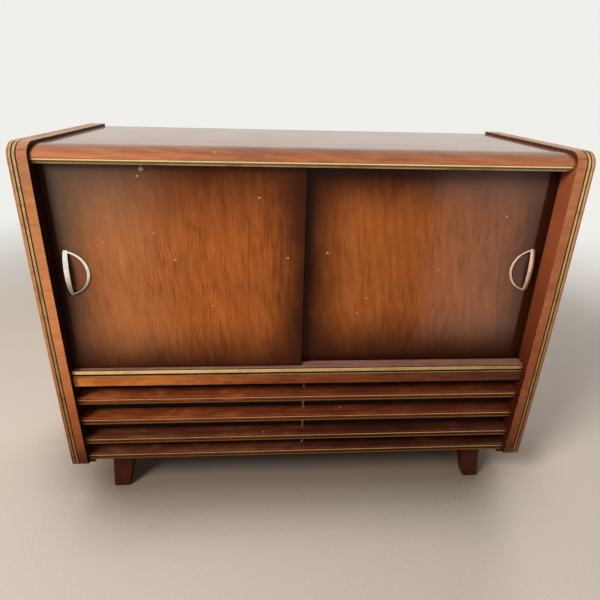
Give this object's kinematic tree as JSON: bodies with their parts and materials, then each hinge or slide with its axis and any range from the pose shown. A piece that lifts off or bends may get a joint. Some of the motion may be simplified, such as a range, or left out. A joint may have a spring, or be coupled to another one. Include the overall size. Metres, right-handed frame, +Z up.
{
  "type": "stereo console cabinet",
  "caption": "Low wooden music cabinet on splayed legs with sliding doors, louvred speaker front, radio, record changer and record store",
  "frame": {"origin": "on the floor, under the centre of the cabinet's outer box", "axes": "+Z up, +X to the viewer's right along the width, front faces -Y"},
  "size_m": [1.15, 0.436, 0.903],
  "materials": {
    "side_veneer": "glossy lacquered mahogany veneer, straight grain",
    "top_veneer": "glossy lacquered mahogany veneer, grain along the width",
    "door_veneer": "high-gloss walnut veneer, upright grain, darker at the edges",
    "louvre_wood": "satin lacquered mahogany",
    "dark_wood": "dark stained wood",
    "track_wood": "waxed pinkish hardwood",
    "inner_wood": "satin mahogany veneer",
    "plywood": "raw plywood",
    "hardboard": "pressed hardboard",
    "brass": "polished brass strip",
    "handle_metal": "nickel plated, slightly warm",
    "chrome": "polished",
    "steel": "zinc plated",
    "black_plastic": "moulded",
    "cream_plastic": "moulded cream plastic",
    "red_plastic": "moulded red plastic",
    "dial_paint": "printed scale with plain numbers",
    "dial_glass": "clear",
    "changer_paint": "cream enamel",
    "rubber_mat": "ribbed rubber mat over a metal platter",
    "paper": "pressed paper cone",
    "speaker_cloth": "dark woven speaker cloth"
  },
  "bodies": {
    "cabinet": {"left_side_panel": "side_veneer", "right_side_panel": "side_veneer", "side_inlays": "brass", "top_board": "top_veneer", "head_rail": "dark_wood", "top_strip": "brass", "head_strip": "brass", "upper_door_track": "dark_wood", "shelf_board": "dark_wood", "sill_strip": "brass", "lower_door_track": "track_wood", "fascia": "louvre_wood", "fascia_strip": "brass", "upper_louvre": "louvre_wood", "middle_louvre": "louvre_wood", "lower_louvre": "louvre_wood", "bottom_board": "louvre_wood", "bottom_cleats": "dark_wood", "louvre_strips": "brass", "louvre_posts": "brass", "legs": "louvre_wood", "leg_plates": "steel", "upper_back_panel": "hardboard", "lower_back_panel": "hardboard", "back_screws": "steel", "mains_inlet": "black_plastic", "baffle_board": "plywood", "speaker_cloth": "speaker_cloth", "left_woofer": "steel", "right_woofer": "steel", "woofer_cones": "paper", "tweeters": "steel", "centre_divider": "inner_wood", "radio_shelf": "inner_wood", "record_dividers": "inner_wood", "radio_chassis": "steel", "radio_panel": "cream_plastic", "dial_scale": "dial_paint", "dial_cover": "dial_glass", "changer_board": "inner_wood", "changer_plate": "changer_paint", "spindle": "chrome", "amplifier_chassis": "steel"},
    "left_door": {"left_door": "door_veneer", "left_handle": "handle_metal"},
    "right_door": {"right_door": "door_veneer", "right_handle": "handle_metal"},
    "tuning_pointer": {"tuning_pointer": "red_plastic"},
    "volume_knob": {"volume_knob": "cream_plastic"},
    "tuning_knob": {"tuning_knob": "cream_plastic"},
    "tone_knob": {"tone_knob": "cream_plastic"},
    "balance_knob": {"balance_knob": "cream_plastic"},
    "key_off": {"key_off": "cream_plastic"},
    "key_radio": {"key_radio": "cream_plastic"},
    "key_record": {"key_record": "cream_plastic"},
    "key_stereo": {"key_stereo": "cream_plastic"},
    "platter": {"platter": "rubber_mat"},
    "tonearm": {"tonearm": "cream_plastic", "tonearm_pivot": "cream_plastic"},
    "speed_knob": {"speed_knob": "cream_plastic"}
  },
  "joints": [
    {"name": "left_door_slide", "type": "slide", "parent": "cabinet", "child": "left_door", "axis": [1, 0, 0], "range_m": [0, 0.46]},
    {"name": "right_door_slide", "type": "slide", "parent": "cabinet", "child": "right_door", "axis": [1, 0, 0], "range_m": [-0.46, 0]},
    {"name": "tuning", "type": "hinge", "parent": "cabinet", "child": "tuning_knob", "pos_m": [-0.066, -0.12979, 0.825], "axis": [0, 1, 0], "range_deg": [-150, 150]},
    {"name": "pointer_slide", "type": "slide", "parent": "cabinet", "child": "tuning_pointer", "axis": [1, 0, 0], "range_m": [-0.131, 0.131]},
    {"name": "volume", "type": "hinge", "parent": "cabinet", "child": "volume_knob", "pos_m": [-0.4805, -0.12979, 0.825], "axis": [0, 1, 0], "range_deg": [0, 300]},
    {"name": "tone", "type": "hinge", "parent": "cabinet", "child": "tone_knob", "pos_m": [-0.4805, -0.12979, 0.761], "axis": [0, 1, 0], "range_deg": [-150, 150]},
    {"name": "balance", "type": "hinge", "parent": "cabinet", "child": "balance_knob", "pos_m": [-0.066, -0.12979, 0.761], "axis": [0, 1, 0], "range_deg": [-150, 150]},
    {"name": "key_off_press", "type": "slide", "parent": "cabinet", "child": "key_off", "axis": [0, 1, 0], "range_m": [0, 0.005], "stiffness_N_per_m": 300},
    {"name": "key_radio_press", "type": "slide", "parent": "cabinet", "child": "key_radio", "axis": [0, 1, 0], "range_m": [0, 0.005], "stiffness_N_per_m": 300},
    {"name": "key_record_press", "type": "slide", "parent": "cabinet", "child": "key_record", "axis": [0, 1, 0], "range_m": [0, 0.005], "stiffness_N_per_m": 300},
    {"name": "key_stereo_press", "type": "slide", "parent": "cabinet", "child": "key_stereo", "axis": [0, 1, 0], "range_m": [0, 0.005], "stiffness_N_per_m": 300},
    {"name": "platter_spin", "type": "hinge", "parent": "cabinet", "child": "platter", "pos_m": [0.22825, 0.02261, 0.513], "axis": [0, 0, -1], "continuous": true},
    {"name": "tonearm_swing", "type": "hinge", "parent": "cabinet", "child": "tonearm", "pos_m": [0.42825, 0.12761, 0.513], "axis": [0, 0, -1], "range_deg": [0, 52]},
    {"name": "speed_select", "type": "hinge", "parent": "cabinet", "child": "speed_knob", "pos_m": [0.44325, -0.10739, 0.513], "axis": [0, 0, 1], "range_deg": [-60, 60]}
  ],
  "couplings": [
    {"joint": "pointer_slide", "follows": "tuning", "m_per_rad": 0.049656}
  ]
}
